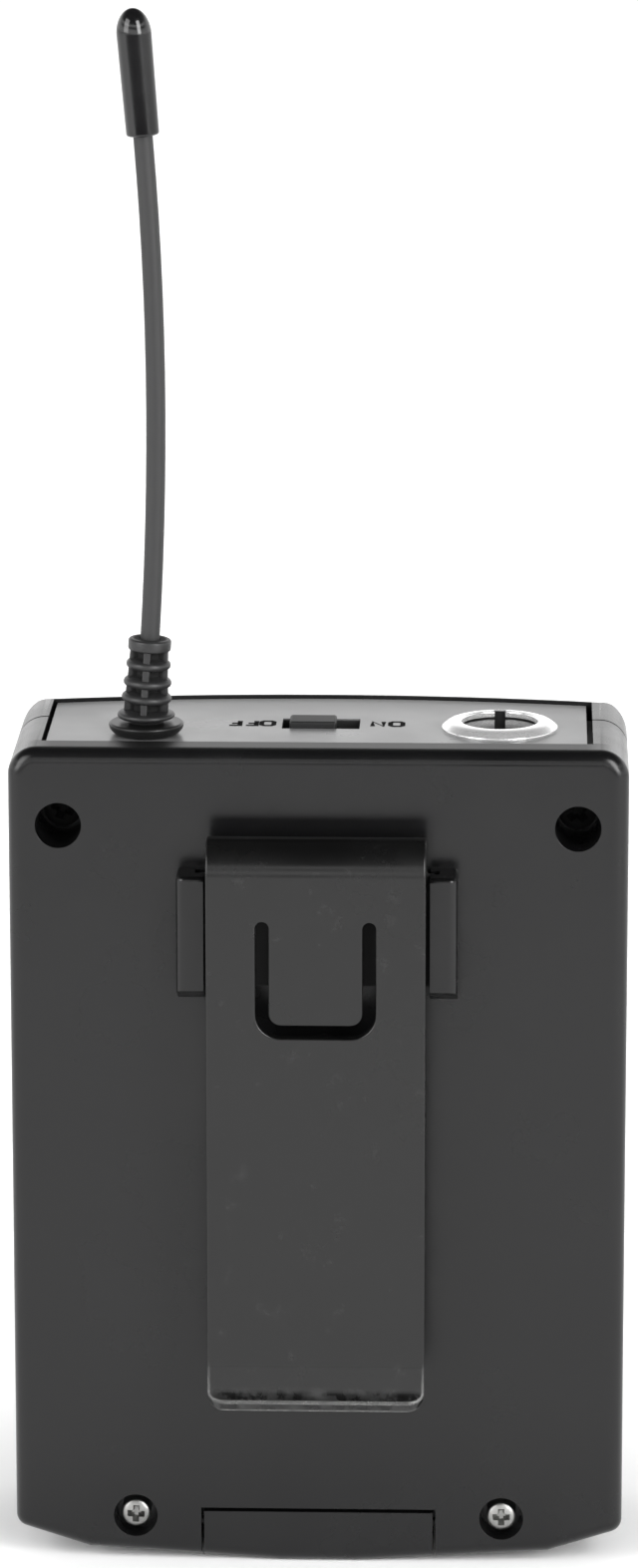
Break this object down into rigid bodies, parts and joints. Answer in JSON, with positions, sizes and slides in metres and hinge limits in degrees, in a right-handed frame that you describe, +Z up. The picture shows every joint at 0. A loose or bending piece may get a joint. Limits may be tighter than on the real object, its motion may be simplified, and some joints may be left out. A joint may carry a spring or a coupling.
{
  "type": "wireless bodypack transmitter",
  "caption": "Wireless bodypack transmitter for a clip-on microphone: steel belt clip on the back, whip antenna, slide switch and locking socket on top, hinged battery door.",
  "frame": {"origin": "centre of the bounding box in plan, at the height of the foot", "axes": "+Z up along the case and its antenna, +X to the right seen from the belt clip side, -Y out of the back face towards the belt clip"},
  "size_m": [0.065, 0.0374, 0.166],
  "materials": {
    "shell_plastic": "fine satin texture",
    "panel_plastic": "satin silver grey",
    "knob_plastic": "satin",
    "switch_frame": "tinned",
    "socket_metal": "polished",
    "nut_metal": "plated",
    "insulator": "moulded",
    "pin_metal": "plated",
    "antenna_rubber": "matte",
    "whip_jacket": "matte extruded",
    "tip_gloss": "glossy",
    "antenna_brass": "turned",
    "clip_steel": "black oxide",
    "pcb_green": "solder mask",
    "shield_tin": "tinned",
    "chip_black": "moulded",
    "capacitor_can": "satin",
    "led_body": "clear resin",
    "light_pipe": "polished",
    "screw_steel": "plated",
    "cell_jacket": "printed film",
    "contact_metal": "nickel plated",
    "door_foam": "open cell foam"
  },
  "bodies": {
    "case": {"back_shell": "shell_plastic", "front_shell": "shell_plastic", "hinge_pin": "screw_steel", "top_panel": "panel_plastic", "switch_body": "switch_frame", "socket_shell": "socket_metal", "socket_nut": "nut_metal", "socket_insert": "insulator", "socket_pins": "pin_metal", "antenna_base": "antenna_rubber", "antenna_stub": "antenna_brass", "antenna_nut": "nut_metal", "antenna_lug": "antenna_brass", "antenna_boot_root": "antenna_rubber", "clip_anchor": "clip_steel", "main_pcb": "pcb_green", "rf_shield": "shield_tin", "pcb_chips": "chip_black", "pcb_capacitors": "capacitor_can", "status_led": "led_body", "light_pipe": "light_pipe", "case_screws_upper": "screw_steel", "case_screws_lower": "screw_steel", "pcb_screws": "screw_steel", "battery_cells": "cell_jacket", "contact_springs": "contact_metal", "contact_plates": "contact_metal"},
    "battery_door": {"battery_door": "shell_plastic", "door_pad": "door_foam"},
    "switch_knob": {"switch_knob": "knob_plastic"},
    "belt_clip": {"clip_leg": "clip_steel"},
    "antenna": {"antenna_boot": "antenna_rubber", "antenna_wire": "whip_jacket", "antenna_tip": "tip_gloss"}
  },
  "joints": [
    {"name": "battery_door_hinge", "type": "hinge", "parent": "case", "child": "battery_door", "pos_m": [0, -0.00688, 0.0043], "axis": [-1, 0, 0], "range_deg": [0, 100]},
    {"name": "power_switch_slide", "type": "slide", "parent": "case", "child": "switch_knob", "axis": [1, 0, 0], "range_m": [0, 0.0018]},
    {"name": "belt_clip_flex", "type": "hinge", "parent": "case", "child": "belt_clip", "pos_m": [0, -0.01278, 0.078], "axis": [-1, 0, 0], "range_deg": [0, 10], "stiffness_Nm_per_rad": 3},
    {"name": "antenna_flex", "type": "hinge", "parent": "case", "child": "antenna", "pos_m": [-0.0184, 0.00092, 0.0923], "axis": [0, 1, 0], "range_deg": [-25, 25], "stiffness_Nm_per_rad": 0.2}
  ]
}
